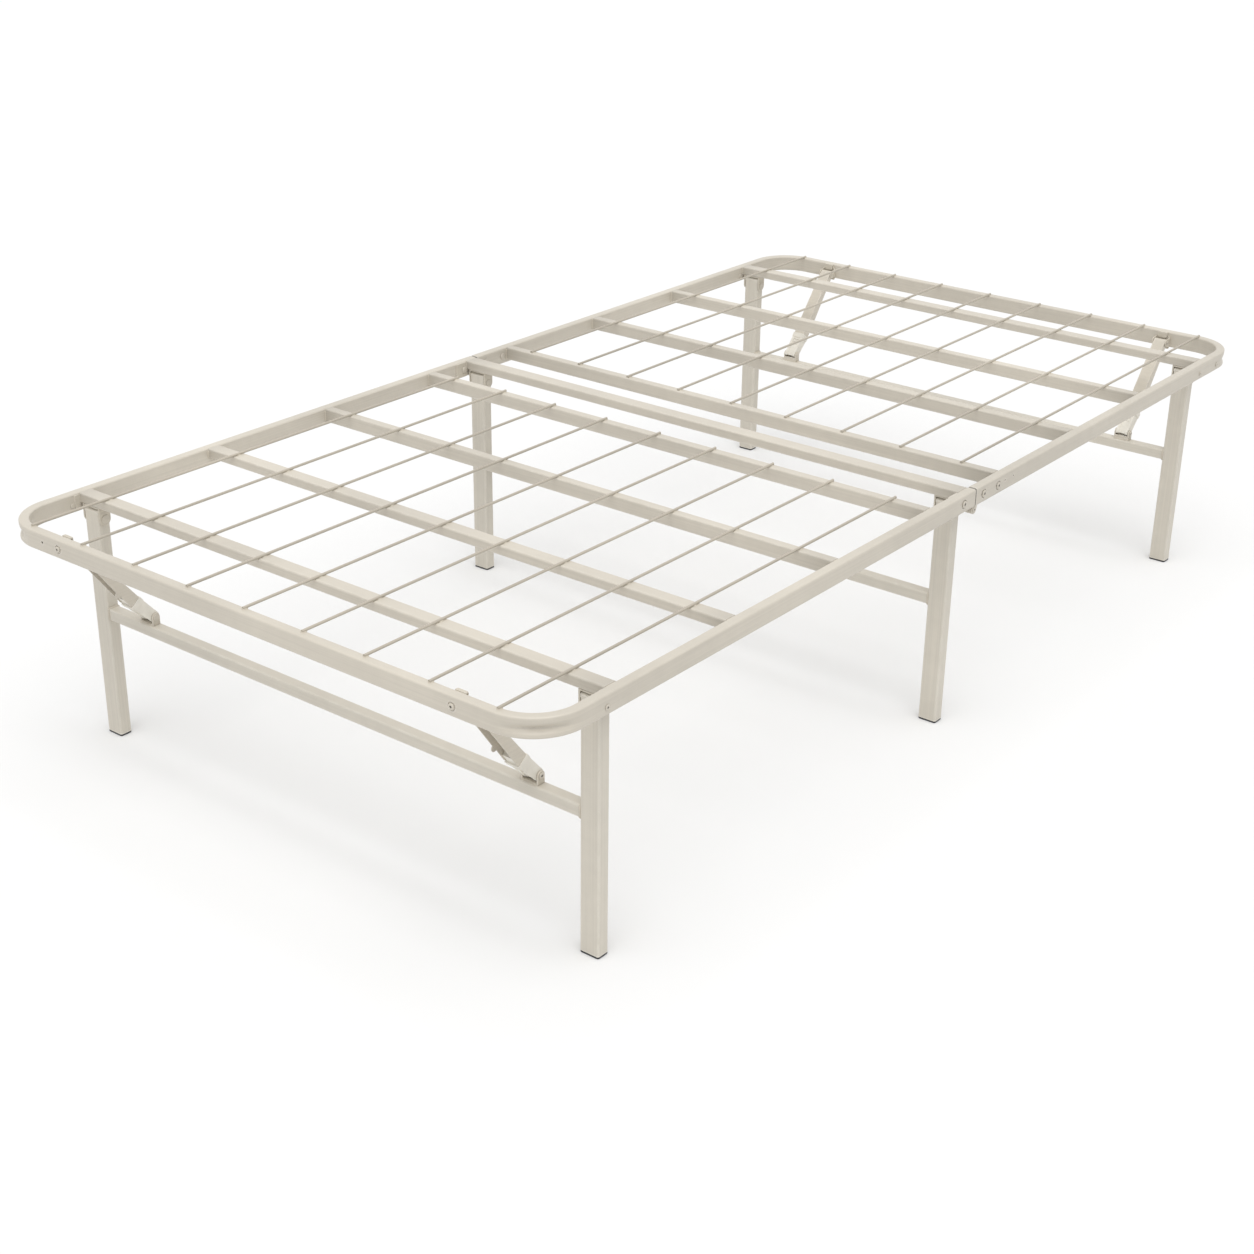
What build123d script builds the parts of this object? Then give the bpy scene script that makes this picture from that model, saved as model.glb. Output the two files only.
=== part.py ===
from build123d import *
import math
import os

os.makedirs("parts", exist_ok=True)

# Overall size of the folding bed frame in millimetres: X width, Y length with the head at +Y, Z up
frame_width = 990.0
frame_length = 1905.0
deck_height = 381.0

# Rails: one bent rectangular tube per half, dented along the outside of each corner bend
rail_height = 28.0
rail_width = 15.0
rail_wall = 1.5
rail_edge = 3.0
corner_radius = 75.0
dent_depth = 4.0
dent_groove = 10.0
dent_half_angle = 40.0

# Cross slats and mid beam: the same tube laid flat over the legs and stood on edge elsewhere
slat_broad = 22.0
slat_narrow = 15.0
slat_wall = 1.2
slat_edge = 2.5
slat_inset = 98.0
mid_beam_broad = 25.0

# Lengthwise wires, with a narrow flat where they are welded down
wire_count = 9
wire_radius = 2.0
wire_flat = 0.25
wire_margin = 71.0
wire_overlap = 7.0

# Fold seam between the halves: flat bars inside the rail ends, pinned below the rail
fold_y = 15.0
fold_gap = 1.0
fold_drop = 4.5
hinge_ear = 7.0
hinge_clearance = 0.3
hinge_bar_foot = 55.0
hinge_bar_head = 92.0
hinge_slot = 12.0
hinge_pin_radius = 2.5
hinge_head_radius = 4.2
hinge_head = 1.4
foot_bolt_reach = 34.0
head_bolt_reach = 23.0
head_far_bolt_reach = 66.0

# Leg frames: rectangular legs, a crossbar, foot caps, and clevis brackets under the slats
leg_broad = 30.0
leg_narrow = 20.0
leg_wall = 1.5
leg_edge = 3.0
leg_inset = 140.0
leg_side_gap = 7.0
leg_pivot_drop = 34.0
leg_head = 12.0
leg_pin_radius = 4.0
leg_pin_head_radius = 6.0
leg_pin_head = 1.6
bracket_wall = 2.5
bracket_gap = 0.4
cap_base = 3.0
cap_plug = 14.0
cap_fit = 0.1
crossbar_side = 18.0
crossbar_wall = 1.2
crossbar_edge = 2.5
crossbar_drop = 147.0

# Struts: a channel pinned to the end rail, with a forked plastic end over the saddle pin
strut_inset = 135.0
strut_width = 22.0
strut_depth = 12.0
strut_wall = 1.5
strut_setback = 10.0
strut_pivot_drop = 18.0
strut_lobe = 5.0
strut_lobe_back = 33.0
strut_pin_radius = 3.0
strut_pin_head_radius = 4.6
strut_pin_head = 1.5
strut_bracket_wall = 2.0
strut_bracket_width = 31.0
strut_bracket_rise = 3.0
strut_bracket_fall = 3.0
strut_bracket_ear = 7.5
strut_gap = 0.4
clip_length = 45.5
clip_shank = 14.0
clip_thick = 9.0
clip_round = 8.0
clip_reach = 5.0
fork_clearance = 0.3
saddle_gap = 0.5
saddle_wall = 2.5
saddle_ear = 6.5
saddle_rise = 12.0

# Round fasteners
rivet_radius = 3.0
rivet_head_radius = 5.5
rivet_head = 2.0
rivet_taper = 40.0
pin_fit = 0.05

# Places that follow from the sizes above
half_width = frame_width / 2
half_length = frame_length / 2
rail_inner = half_width - rail_width
rail_line_x = half_width - rail_width / 2
rail_line_y = half_length - rail_width / 2
rail_bottom = deck_height - rail_height
rail_mid = deck_height - rail_height / 2
leg_line = half_length - leg_inset
slat_pitch = (leg_line - slat_inset) / 3
wire_pitch = (frame_width - 2 * wire_margin) / (wire_count - 1)
fold_z = rail_bottom - fold_drop
hinge_bar_wide = rail_width / 2 - rail_wall - hinge_clearance / 2
hinge_bar_tall = rail_height - 2 * rail_edge
leg_x = rail_inner - leg_side_gap - leg_broad / 2
leg_pivot_z = deck_height - leg_pivot_drop
leg_top = leg_pivot_z + leg_head
slat_underside = deck_height - slat_narrow
crossbar_mid = leg_pivot_z - crossbar_drop
crossbar_top = crossbar_mid + crossbar_side / 2
strut_x = half_width - strut_inset
strut_pivot_y = half_length - rail_width - strut_setback
strut_pivot_z = deck_height - strut_pivot_drop
saddle_pin_z = crossbar_top + saddle_rise
strut_run = strut_pivot_y - leg_line
strut_fall = strut_pivot_z - saddle_pin_z
strut_length = math.hypot(strut_run, strut_fall)
channel_end = strut_length - clip_length
strut_lobe_at = channel_end - strut_lobe_back


def save(builder, label):
    builder.part.label = label
    export_step(builder.part, f"parts/{label}.step")


def save_mirrored(builder, about, label):
    with BuildPart() as copy:
        mirror(builder.part, about=about)
    save(copy, label)


def tube_section(width, height, wall, edge):
    RectangleRounded(width, height, edge)
    Rectangle(width - 2 * wall, height - 2 * wall, mode=Mode.SUBTRACT)


def cross_tube(y, z, broad, tall, wall, edge, reach):
    with BuildPart() as tube:
        with BuildSketch(Plane.YZ.offset(-reach)):
            with Locations((y, z)):
                tube_section(broad, tall, wall, edge)
        extrude(amount=2 * reach)
    return tube


# Bar along the bent rail of one half: end is -1 at the foot and +1 at the head
def rail_bar(end, joint_face, width, height, edge):
    with BuildPart() as bar:
        with BuildLine():
            FilletPolyline(
                (rail_line_x, joint_face, rail_mid),
                (rail_line_x, end * rail_line_y, rail_mid),
                (-rail_line_x, end * rail_line_y, rail_mid),
                (-rail_line_x, joint_face, rail_mid),
                radius=corner_radius - rail_width / 2,
            )
        start = Plane(origin=(rail_line_x, joint_face, rail_mid), x_dir=(1, 0, 0), z_dir=(0, end, 0))
        with BuildSketch(start):
            if edge:
                RectangleRounded(width, height, edge)
            else:
                Rectangle(width, height)
        sweep()
    return bar.part


# Ring-shaped dents that fade out along both corner bends of a rail: round outside, square in the cavity
def corner_dents(end, wall):
    floor = corner_radius - dent_depth
    spread = corner_radius * math.cos(math.radians(dent_half_angle))
    shift = (corner_radius**2 - floor**2) / (2 * floor - 2 * spread)
    dent_x = half_width - corner_radius - shift * math.sqrt(0.5)
    dent_y = end * (half_length - corner_radius - shift * math.sqrt(0.5))
    start = Plane(origin=(dent_x, dent_y, rail_mid), x_dir=(0, end, 0), z_dir=(end, 0, 0))
    with BuildPart() as dents:
        with BuildSketch(start):
            with Locations((floor + shift + dent_groove, 0)):
                if wall:
                    Rectangle(2 * dent_groove + 2 * wall, 2 * dent_groove)
                else:
                    Circle(dent_groove)
        revolve(axis=Axis((dent_x, dent_y, 0), (0, 0, -end)), revolution_arc=90)
        mirror(about=Plane.YZ)
    return dents.part


# Rail tube with an even wall, slots for the hinge ears and holes for bolts and rivets
def rail_tube(end, joint_face, bolt_places):
    bar = rail_bar(end, joint_face, rail_width, rail_height, rail_edge)
    dents = corner_dents(end, 0)
    core_width = rail_width - 2 * rail_wall
    core = rail_bar(end, joint_face, core_width, rail_height - 2 * rail_wall, 0)
    core_dents = corner_dents(end, rail_wall)
    with BuildPart() as hollow:
        add(core)
        add(core_dents, mode=Mode.SUBTRACT)
    with BuildPart() as tube:
        add(bar)
        add(dents, mode=Mode.SUBTRACT)
        add(hollow.part, mode=Mode.SUBTRACT)
        slot_y = joint_face + end * hinge_slot / 2
        with BuildSketch(Plane.XY.offset(rail_bottom)):
            with Locations((-rail_line_x, slot_y), (rail_line_x, slot_y)):
                Rectangle(core_width, hinge_slot)
        extrude(amount=2 * rail_wall, mode=Mode.SUBTRACT)
        with BuildSketch(Plane.YZ.offset(-half_width)):
            with Locations(*[(y, rail_mid) for y in bolt_places]):
                Circle(rivet_radius + pin_fit)
        extrude(amount=frame_width, mode=Mode.SUBTRACT)
        with BuildSketch(Plane.XZ.offset(-end * half_length)):
            with Locations((-strut_x, rail_mid), (strut_x, rail_mid)):
                Circle(rivet_radius + pin_fit)
        extrude(amount=end * rail_width, mode=Mode.SUBTRACT)
    return tube


foot_face = fold_y - fold_gap / 2
head_face = fold_y + fold_gap / 2
foot_bolt_y = [fold_y - foot_bolt_reach]
head_bolt_y = [fold_y + head_bolt_reach, fold_y + head_far_bolt_reach]
foot_rail = rail_tube(-1, foot_face, foot_bolt_y)
head_rail = rail_tube(1, head_face, head_bolt_y)
save(foot_rail, "foot_rail")
save(head_rail, "head_rail")

# Slats: the ones numbered in flat_slats lie flat, the others stand on edge, tops flush with the rails
flat_slats = {"foot": (1, 2), "head": (4,)}
for half, end in (("foot", -1), ("head", 1)):
    for number in (1, 2, 3, 4):
        place = 4 - number if half == "foot" else number - 1
        slat_y = end * (slat_inset + place * slat_pitch)
        flat = number in flat_slats[half]
        broad = slat_broad if flat else slat_narrow
        tall = slat_narrow if flat else slat_broad
        slat = cross_tube(slat_y, deck_height - tall / 2, broad, tall, slat_wall, slat_edge, rail_inner)
        save(slat, f"{half}_slat_{number}")
mid_beam_z = deck_height - slat_narrow / 2
mid_beam = cross_tube(0, mid_beam_z, mid_beam_broad, slat_narrow, slat_wall, slat_edge, rail_inner)
save(mid_beam, "mid_beam")


# Wires of one half, from the top of the end rail to the innermost slat
wire_from = slat_inset - slat_narrow / 2 + slat_edge
wire_to = half_length - rail_width + wire_overlap
wire_plane_z = deck_height + wire_radius - wire_flat
for half, near_y in (("foot", -wire_from), ("head", wire_to)):
    with BuildPart() as wires:
        with BuildSketch(Plane(origin=(0, near_y, wire_plane_z), x_dir=(1, 0, 0), z_dir=(0, -1, 0))):
            with GridLocations(wire_pitch, 1, wire_count, 1):
                Circle(wire_radius)
                with Locations((0, -wire_radius)):
                    Rectangle(2 * wire_radius, 2 * wire_flat, mode=Mode.SUBTRACT)
        extrude(amount=wire_to - wire_from)
    save(wires, f"{half}_wires")


# Fasteners along X with a domed head outside and one inside or a flush inner end, on both sides of the bed
def rivets_along_x(places, from_x, to_x, radius, head_radius, inner_head, outer_head, taper):
    with BuildPart() as rivets:
        with BuildSketch(Plane.YZ.offset(from_x)):
            with Locations(*places):
                Circle(radius)
        extrude(amount=to_x - from_x)
        with BuildSketch(Plane.YZ.offset(to_x)):
            with Locations(*places):
                Circle(head_radius)
        extrude(amount=outer_head, taper=taper)
        if inner_head:
            with BuildSketch(Plane.YZ.offset(from_x)):
                with Locations(*places):
                    Circle(head_radius)
            extrude(amount=-inner_head, taper=taper)
        mirror(about=Plane.YZ)
    return rivets


# Hinge bars: a flat bar riveted inside each rail end, with a round ear around the fold pin
def hinge_bar(end, joint_face, length, inner_x, bolt_places):
    neck = hinge_ear + hinge_clearance
    neck_y = joint_face + end * neck / 2
    neck_top = rail_mid
    with BuildPart() as bar:
        with BuildSketch(Plane.YZ.offset(inner_x)):
            with Locations((joint_face + end * length / 2, rail_mid)):
                Rectangle(length, hinge_bar_tall)
            with Locations((neck_y, (neck_top + fold_z) / 2)):
                Rectangle(neck, neck_top - fold_z)
            with Locations((fold_y, fold_z)):
                Circle(hinge_ear)
                Circle(hinge_pin_radius + pin_fit, mode=Mode.SUBTRACT)
            with Locations(*[(y, rail_mid) for y in bolt_places]):
                Circle(rivet_radius + pin_fit, mode=Mode.SUBTRACT)
        extrude(amount=hinge_bar_wide)
    return bar


hinge_bar_foot_x = rail_inner + rail_wall
hinge_bar_head_x = rail_line_x + hinge_clearance / 2
foot_hinge_bar_r = hinge_bar(-1, foot_face, hinge_bar_foot, hinge_bar_foot_x, foot_bolt_y)
head_hinge_bar_r = hinge_bar(1, head_face, hinge_bar_head, hinge_bar_head_x, head_bolt_y)
save(foot_hinge_bar_r, "foot_hinge_bar_r")
save_mirrored(foot_hinge_bar_r, Plane.YZ, "foot_hinge_bar_l")
save(head_hinge_bar_r, "head_hinge_bar_r")
save_mirrored(head_hinge_bar_r, Plane.YZ, "head_hinge_bar_l")

hinge_pins = rivets_along_x(
    [(fold_y, fold_z)], hinge_bar_foot_x, half_width - rail_wall, hinge_pin_radius, hinge_head_radius,
    0, hinge_head, 0
)
save(hinge_pins, "hinge_pins")


# Hinge bolts: headed on both sides of the rail
def hinge_bolts(bolt_places):
    return rivets_along_x(
        [(y, rail_mid) for y in bolt_places], rail_inner, half_width, rivet_radius, rivet_head_radius,
        rivet_head, rivet_head, rivet_taper
    )


foot_hinge_bolts = hinge_bolts(foot_bolt_y)
head_hinge_bolts = hinge_bolts(head_bolt_y)
save(foot_hinge_bolts, "foot_hinge_bolts")
save(head_hinge_bolts, "head_hinge_bolts")


# Clevis brackets under the slats and the pins that carry the legs
bracket_inner = leg_x - leg_broad / 2 - bracket_gap - bracket_wall
bracket_outer = leg_x + leg_broad / 2 + bracket_gap
for name, y in (("foot", -leg_line), ("mid", 0), ("head", leg_line)):
    with BuildPart() as brackets:
        with BuildSketch(Plane.XY.offset(slat_underside)):
            with Locations((leg_x, y)):
                Rectangle(leg_broad + 2 * bracket_gap + 2 * bracket_wall, leg_narrow)
        extrude(amount=-bracket_wall)
        for ear_x in (bracket_inner, bracket_outer):
            with BuildSketch(Plane.YZ.offset(ear_x)):
                with Locations((y, (slat_underside + leg_pivot_z) / 2)):
                    Rectangle(leg_narrow, slat_underside - leg_pivot_z)
                with Locations((y, leg_pivot_z)):
                    Circle(leg_narrow / 2)
                    Circle(leg_pin_radius + pin_fit, mode=Mode.SUBTRACT)
            extrude(amount=bracket_wall)
        mirror(about=Plane.YZ)
    save(brackets, f"{name}_leg_brackets")
    pins = rivets_along_x(
        [(y, leg_pivot_z)], bracket_inner, bracket_outer + bracket_wall, leg_pin_radius,
        leg_pin_head_radius, 0, leg_pin_head, rivet_taper
    )
    save(pins, f"{name}_leg_pins")


# Legs, crossbar and foot caps of the three leg frames
for name, y in (("foot", -leg_line), ("mid", 0), ("head", leg_line)):
    with BuildPart() as leg:
        with BuildSketch(Plane.XY.offset(cap_base)):
            with Locations((leg_x, y)):
                tube_section(leg_broad, leg_narrow, leg_wall, leg_edge)
        extrude(amount=leg_top - cap_base)
        with BuildSketch(Plane.YZ.offset(leg_x - leg_broad / 2)):
            with Locations((y, leg_pivot_z)):
                Circle(leg_pin_radius + pin_fit)
        extrude(amount=leg_broad, mode=Mode.SUBTRACT)
    save(leg, f"{name}_leg_r")
    save_mirrored(leg, Plane.YZ, f"{name}_leg_l")
    crossbar_reach = leg_x - leg_broad / 2
    crossbar = cross_tube(
        y, crossbar_mid, crossbar_side, crossbar_side, crossbar_wall, crossbar_edge, crossbar_reach
    )
    save(crossbar, f"{name}_crossbar")
    with BuildPart() as caps:
        with BuildSketch(Plane.XY):
            with Locations((-leg_x, y), (leg_x, y)):
                RectangleRounded(leg_broad, leg_narrow, leg_edge)
        extrude(amount=cap_base)
        plug_inset = 2 * leg_wall + 2 * cap_fit
        with BuildSketch(Plane.XY.offset(cap_base)):
            with Locations((-leg_x, y), (leg_x, y)):
                Rectangle(leg_broad - plug_inset, leg_narrow - plug_inset)
        extrude(amount=cap_plug)
    save(caps, f"{name}_leg_caps")


# Saddles on the outer crossbars, with the pins that the strut ends snap over
saddle_inner = strut_x - strut_width / 2 - saddle_gap - saddle_wall
saddle_outer = strut_x + strut_width / 2 + saddle_gap
with BuildPart() as saddles:
    with BuildSketch(Plane.XY.offset(crossbar_top)):
        with Locations((strut_x, -leg_line)):
            Rectangle(saddle_outer + saddle_wall - saddle_inner, 2 * saddle_ear)
    extrude(amount=saddle_wall)
    for ear_x in (saddle_inner, saddle_outer):
        with BuildSketch(Plane.YZ.offset(ear_x)):
            with Locations((-leg_line, (crossbar_top + saddle_pin_z) / 2)):
                Rectangle(2 * saddle_ear, saddle_pin_z - crossbar_top)
            with Locations((-leg_line, saddle_pin_z)):
                Circle(saddle_ear)
                Circle(strut_pin_radius + pin_fit, mode=Mode.SUBTRACT)
        extrude(amount=saddle_wall)
    mirror(about=Plane.YZ)
save(saddles, "foot_saddles")
save_mirrored(saddles, Plane.XZ, "head_saddles")
saddle_pins = rivets_along_x(
    [(-leg_line, saddle_pin_z)], saddle_inner, saddle_outer + saddle_wall, strut_pin_radius,
    strut_pin_head_radius, 0, strut_pin_head, rivet_taper
)
save(saddle_pins, "foot_saddle_pins")
save_mirrored(saddle_pins, Plane.XZ, "head_saddle_pins")

# Strut brackets on the inner face of the end rail: back plate, two ears, domed rivet and pivot pin
strut_ear_inner = strut_x - strut_width / 2 - strut_gap - strut_bracket_wall
strut_ear_outer = strut_x + strut_width / 2 + strut_gap
end_inner = half_length - rail_width
plate_top = deck_height + strut_bracket_rise
plate_bottom = rail_bottom - strut_bracket_fall
plate_face = strut_bracket_wall - end_inner
with BuildPart() as strut_bracket:
    with BuildSketch(Plane.XZ.offset(end_inner)):
        with Locations((strut_x, (plate_top + plate_bottom) / 2)):
            Rectangle(strut_bracket_width, plate_top - plate_bottom)
        with Locations((strut_x, rail_mid)):
            Circle(rivet_radius + pin_fit, mode=Mode.SUBTRACT)
    extrude(amount=-strut_bracket_wall)
    for ear_x in (strut_ear_inner, strut_ear_outer):
        with BuildSketch(Plane.YZ.offset(ear_x)):
            with Locations((-strut_pivot_y, strut_pivot_z)):
                Circle(strut_bracket_ear)
            with Locations((plate_face - strut_bracket_wall / 2, strut_pivot_z)):
                Rectangle(strut_bracket_wall, 2 * strut_bracket_ear)
            make_hull()
            with Locations((-strut_pivot_y, strut_pivot_z)):
                Circle(strut_pin_radius + pin_fit, mode=Mode.SUBTRACT)
        extrude(amount=strut_bracket_wall)
strut_pins = rivets_along_x(
    [(-strut_pivot_y, strut_pivot_z)], strut_ear_inner, strut_ear_outer + strut_bracket_wall,
    strut_pin_radius, strut_pin_head_radius, 0, strut_pin_head, rivet_taper
)
with BuildPart() as strut_bolts:
    with BuildSketch(Plane.XZ.offset(half_length)):
        with Locations((-strut_x, rail_mid), (strut_x, rail_mid)):
            Circle(rivet_head_radius)
    extrude(amount=rivet_head, taper=rivet_taper)
    with BuildSketch(Plane.XZ.offset(half_length)):
        with Locations((-strut_x, rail_mid), (strut_x, rail_mid)):
            Circle(rivet_radius)
    extrude(amount=-rail_width - strut_bracket_wall)
with BuildPart() as head_strut_bracket:
    mirror(strut_bracket.part, about=Plane.XZ)
save(strut_bracket, "foot_strut_bracket_r")
save_mirrored(strut_bracket, Plane.YZ, "foot_strut_bracket_l")
save(head_strut_bracket, "head_strut_bracket_r")
save_mirrored(head_strut_bracket, Plane.YZ, "head_strut_bracket_l")
save(strut_pins, "foot_strut_pins")
save_mirrored(strut_pins, Plane.XZ, "head_strut_pins")
save(strut_bolts, "foot_strut_bolts")
save_mirrored(strut_bolts, Plane.XZ, "head_strut_bolts")

# Strut channel: open on its lower side, round at the pivot, with a lobe on the inboard flange
strut_plane = Plane(
    origin=(strut_x, -strut_pivot_y, strut_pivot_z), x_dir=(0, strut_run, -strut_fall), z_dir=(1, 0, 0)
)
inboard_flange = strut_plane.offset(-strut_width / 2)
half_inside = strut_width / 2 - strut_wall
with BuildPart() as strut:
    with BuildSketch(strut_plane):
        Circle(strut_depth / 2)
        with Locations((channel_end / 2, 0)):
            Rectangle(channel_end, strut_depth)
    extrude(amount=strut_width / 2, both=True)
    with BuildSketch(strut_plane):
        with Locations((channel_end / 2, -strut_wall)):
            Rectangle(channel_end + 2 * strut_depth, strut_depth)
    extrude(amount=half_inside, both=True, mode=Mode.SUBTRACT)
    with BuildSketch(inboard_flange):
        with Locations((strut_lobe_at, -strut_depth / 2)):
            Circle(strut_lobe)
    extrude(amount=strut_wall)
    with BuildSketch(strut_plane):
        Circle(strut_pin_radius + pin_fit)
    extrude(amount=strut_width / 2, both=True, mode=Mode.SUBTRACT)

# Plastic strut end: a shank held in the channel and a fork that is open along the strut
clip_top = strut_depth / 2 - strut_wall
with BuildPart() as strut_clip:
    with BuildSketch(strut_plane):
        with Locations((channel_end - clip_shank / 2, clip_top - clip_thick / 2)):
            Rectangle(clip_shank, clip_thick)
    extrude(amount=half_inside, both=True)
    with BuildSketch(strut_plane):
        with Locations((channel_end + strut_wall / 2, 0)):
            Rectangle(strut_wall, strut_depth)
        with Locations((strut_length, 0)):
            Circle(clip_round)
        make_hull()
        with Locations((strut_length + clip_reach + clip_round, 0)):
            Rectangle(2 * clip_round, 2 * clip_round, mode=Mode.SUBTRACT)
        with Locations((strut_length, 0)):
            Circle(strut_pin_radius + fork_clearance, mode=Mode.SUBTRACT)
        with Locations((strut_length + clip_round, 0)):
            Rectangle(2 * clip_round, 2 * strut_pin_radius + 2 * fork_clearance, mode=Mode.SUBTRACT)
    extrude(amount=strut_width / 2, both=True)

for piece, label in ((strut, "strut"), (strut_clip, "strut_clip")):
    with BuildPart() as head_piece:
        mirror(piece.part, about=Plane.XZ)
    save(piece, f"foot_{label}_r")
    save_mirrored(piece, Plane.YZ, f"foot_{label}_l")
    save(head_piece, f"head_{label}_r")
    save_mirrored(head_piece, Plane.YZ, f"head_{label}_l")
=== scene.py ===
import math
import random

import bmesh
import bpy
from mathutils import Matrix, Vector


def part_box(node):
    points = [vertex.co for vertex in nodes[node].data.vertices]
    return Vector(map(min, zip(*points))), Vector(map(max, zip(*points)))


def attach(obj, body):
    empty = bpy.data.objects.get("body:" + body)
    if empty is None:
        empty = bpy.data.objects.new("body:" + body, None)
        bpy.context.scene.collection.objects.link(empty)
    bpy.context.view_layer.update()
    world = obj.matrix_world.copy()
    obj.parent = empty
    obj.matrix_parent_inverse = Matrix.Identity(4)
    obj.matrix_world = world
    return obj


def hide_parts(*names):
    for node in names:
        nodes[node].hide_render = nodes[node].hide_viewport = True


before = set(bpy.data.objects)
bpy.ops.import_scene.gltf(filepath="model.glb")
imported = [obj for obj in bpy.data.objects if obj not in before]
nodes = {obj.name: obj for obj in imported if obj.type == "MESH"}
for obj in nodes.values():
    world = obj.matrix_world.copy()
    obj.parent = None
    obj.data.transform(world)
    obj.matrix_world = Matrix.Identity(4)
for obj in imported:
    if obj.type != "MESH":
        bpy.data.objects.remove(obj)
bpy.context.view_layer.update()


# Rails: one bent rectangular steel tube for each half of the bed, U-shaped in plan, cream powder coat.
# Each corner is cold bent, which leaves a crushed groove outside and a low bulge inside. The ends are open
# at the fold seam and rolled in, with slots below for the hinge ears. Close to the seam the coat is painted
# darker, partly for the bare cut and partly as painted shade in the seam gap. Sizes are in mm.
mm = 0.001
rail_half_wide = 7.5
rail_half_tall = 14.0
rail_edge = 3.0
rail_wall = 1.5
corner_steps = 4
face_steps = 16
bend_radius = 67.5
bend_steps = 30
groove_depth = 7.0
groove_reach = 4.7
groove_below_middle = 1.8
groove_fade = 1.6
bulge_depth = 0.9
end_roll = ((0.0, 1.0), (0.4, 0.4), (1.3, 0.0))
seam_open = 0.8
seam_bare_and_shade_start = 2.2
seam_bare_and_shade_fade = 0.8
seam_bare_and_shade_tone = 0.5
rail_crease = 35
cream = (0.612, 0.565, 0.483)
cream_edge_highlight = (0.87, 0.838, 0.772)


def box_mm(node):
    low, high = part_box(node)
    return low / mm, high / mm


# Middle of a node's box along Y and Z
def middle_yz(node):
    low, high = box_mm(node)
    return (low.y + high.y) / 2, (low.z + high.z) / 2


rail_outer, end_outer, deck = (round(reach, 3) for reach in box_mm("head_rail")[1])
rail_thick = 2 * rail_half_wide
rail_inner = rail_outer - rail_thick
end_inner = end_outer - rail_thick
rail_line = rail_outer - rail_half_wide
rail_middle = deck - rail_half_tall


def calc(tree, operation, *values):
    made = tree.nodes.new("ShaderNodeMath")
    made.operation = operation
    for place, value in zip(made.inputs, values):
        if isinstance(value, bpy.types.NodeSocket):
            tree.links.new(value, place)
        else:
            place.default_value = value
    return made.outputs[0]


def spread(tree, value, low_in, high_in, low_out, high_out):
    made = tree.nodes.new("ShaderNodeMapRange")
    tree.links.new(value, made.inputs["Value"])
    made.inputs["From Min"].default_value = low_in
    made.inputs["From Max"].default_value = high_in
    made.inputs["To Min"].default_value = low_out
    made.inputs["To Max"].default_value = high_out
    return made.outputs["Result"]


def mottle(tree, place, scale, detail):
    made = tree.nodes.new("ShaderNodeTexNoise")
    made.inputs["Detail"].default_value = detail
    tree.links.new(place, made.inputs["Vector"])
    if isinstance(scale, bpy.types.NodeSocket):
        tree.links.new(scale, made.inputs["Scale"])
    else:
        made.inputs["Scale"].default_value = scale
    return made.outputs["Fac"]


def scaled(tree, colour, share):
    made = tree.nodes.new("ShaderNodeVectorMath")
    made.operation = "SCALE"
    tree.links.new(colour, made.inputs[0])
    tree.links.new(share, made.inputs["Scale"])
    return made.outputs["Vector"]


def blended(tree, share, first, second):
    made = tree.nodes.new("ShaderNodeMix")
    made.data_type = "RGBA"
    tree.links.new(share, made.inputs["Factor"])
    tree.links.new(first, made.inputs[6])
    tree.links.new(second, made.inputs[7])
    return made.outputs[2]


def new_group(name, inputs, outputs):
    group = bpy.data.node_groups.new(name, "ShaderNodeTree")
    for label, kind, value in inputs:
        socket = group.interface.new_socket(label, in_out="INPUT", socket_type=kind)
        socket.default_value = value
    for label, kind in outputs:
        group.interface.new_socket(label, in_out="OUTPUT", socket_type=kind)
    return group, group.nodes.new("NodeGroupInput"), group.nodes.new("NodeGroupOutput")


# Edge mask: 1 on outside edges within the radius, broken up, 0 on open faces. The coat uses it for a painted
# highlight on its edges, the plastic for paler rubbed edges
edge_rub_and_highlight, taken, given = new_group(
    "edge_rub_and_highlight", [("Radius", "NodeSocketFloat", 0.003)], [("Mask", "NodeSocketFloat")]
)
rounded = edge_rub_and_highlight.nodes.new("ShaderNodeBevel")
rounded.samples = 4
edge_rub_and_highlight.links.new(taken.outputs["Radius"], rounded.inputs["Radius"])
surface = edge_rub_and_highlight.nodes.new("ShaderNodeNewGeometry")
facing = edge_rub_and_highlight.nodes.new("ShaderNodeVectorMath")
facing.operation = "DOT_PRODUCT"
edge_rub_and_highlight.links.new(rounded.outputs["Normal"], facing.inputs[0])
edge_rub_and_highlight.links.new(surface.outputs["Normal"], facing.inputs[1])
turned_away = calc(edge_rub_and_highlight, "SUBTRACT", 1.0, facing.outputs["Value"])
edge_breakup_place = edge_rub_and_highlight.nodes.new("ShaderNodeTexCoord").outputs["Object"]
breakup = spread(edge_rub_and_highlight, mottle(edge_rub_and_highlight, edge_breakup_place, 55.0, 4.0), 0.32, 0.62, 0.25, 1.0)
on_edge = spread(edge_rub_and_highlight, turned_away, 0.02, 0.2, 0.0, 1.0)
edge_rub_and_highlight.links.new(calc(edge_rub_and_highlight, "MULTIPLY", on_edge, breakup), given.inputs["Mask"])


skin_outputs = [("Colour", "NodeSocketColor")]
skin_outputs += [("Roughness", "NodeSocketFloat"), ("Height", "NodeSocketFloat")]


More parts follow.
